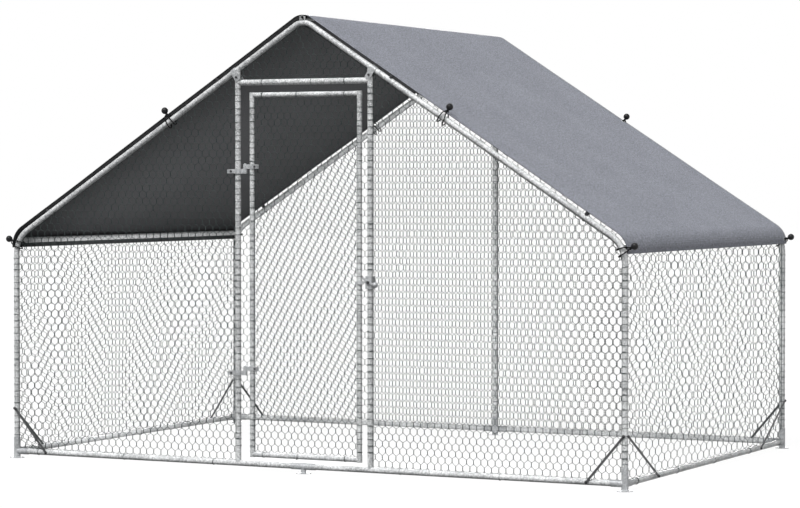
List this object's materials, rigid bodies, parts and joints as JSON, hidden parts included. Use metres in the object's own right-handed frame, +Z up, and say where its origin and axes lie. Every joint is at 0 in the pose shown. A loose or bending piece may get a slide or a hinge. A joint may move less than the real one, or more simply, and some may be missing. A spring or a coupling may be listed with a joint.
{
  "type": "chicken run",
  "caption": "Walk-in poultry run of bolted steel tube with hexagonal wire netting walls, a hinged netting door with a turning latch, and a gable fabric cover on elastic ball ties.",
  "frame": {"origin": "on the ground in the middle of the run, halfway between the four corner posts", "axes": "+Z up, +X to the right along the front wall seen from outside, +Y from the door wall to the rear wall"},
  "size_m": [3.0862, 2.0411, 1.9729],
  "materials": {
    "galvanised_tube": "galvanised, satin",
    "zinc_fitting": "zinc plated",
    "dark_bolt": "dark zinc",
    "dark_brace": "dark grey paint",
    "net_wire": "galvanised wire, dull",
    "cover_cloth": "coated cloth, grey outside and darker inside",
    "black_ball": "smooth",
    "black_elastic": "braided sheath"
  },
  "bodies": {
    "frame": {"corner_foot_front_left": "zinc_fitting", "corner_foot_front_right": "zinc_fitting", "corner_foot_rear_left": "zinc_fitting", "corner_foot_rear_right": "zinc_fitting", "centre_foot_front": "zinc_fitting", "centre_foot_rear": "zinc_fitting", "front_rail_left": "galvanised_tube", "front_rail_right": "galvanised_tube", "rear_rail_left": "galvanised_tube", "rear_rail_right": "galvanised_tube", "left_rail": "galvanised_tube", "right_rail": "galvanised_tube", "post_front_left": "galvanised_tube", "post_front_right": "galvanised_tube", "post_rear_left": "galvanised_tube", "post_rear_right": "galvanised_tube", "rear_centre_post": "galvanised_tube", "eave_elbow_front_left": "galvanised_tube", "eave_elbow_front_right": "galvanised_tube", "eave_elbow_rear_left": "galvanised_tube", "eave_elbow_rear_right": "galvanised_tube", "rafter_front_left": "galvanised_tube", "rafter_front_right": "galvanised_tube", "rafter_rear_left": "galvanised_tube", "rafter_rear_right": "galvanised_tube", "ridge_elbow_front": "galvanised_tube", "ridge_elbow_rear": "galvanised_tube", "eave_rail_left": "galvanised_tube", "eave_rail_right": "galvanised_tube", "ridge_rail": "galvanised_tube", "hinge_jamb": "galvanised_tube", "latch_jamb": "galvanised_tube", "door_header": "galvanised_tube", "jamb_straps": "zinc_fitting", "corner_braces": "dark_brace", "joint_bolts": "dark_bolt", "frame_bolts": "dark_bolt", "net_front_left": "net_wire", "net_front_right": "net_wire", "net_gable": "net_wire", "net_left": "net_wire", "net_right": "net_wire", "net_rear_left": "net_wire", "net_rear_right": "net_wire", "roof_cover": "cover_cloth", "tie_balls": "black_ball", "tie_elastics": "black_elastic", "hinge_pintles": "zinc_fitting", "latch_body": "zinc_fitting"},
    "door": {"door_stile_hinge": "galvanised_tube", "door_stile_latch": "galvanised_tube", "door_rail_top": "galvanised_tube", "door_rail_bottom": "galvanised_tube", "door_corners": "galvanised_tube", "net_door": "net_wire", "hinge_eyes": "zinc_fitting", "latch_keeper": "zinc_fitting", "door_bolts": "dark_bolt"},
    "lever": {"latch_lever": "zinc_fitting"}
  },
  "joints": [
    {"name": "door_hinge", "type": "hinge", "parent": "frame", "child": "door", "pos_m": [-0.2885, -0.9875, 0.85], "axis": [0, 0, -1], "range_deg": [0, 115]},
    {"name": "latch_turn", "type": "hinge", "parent": "frame", "child": "lever", "pos_m": [0.324, -1.0086, 0.829], "axis": [0, -1, 0], "range_deg": [0, 36]}
  ]
}
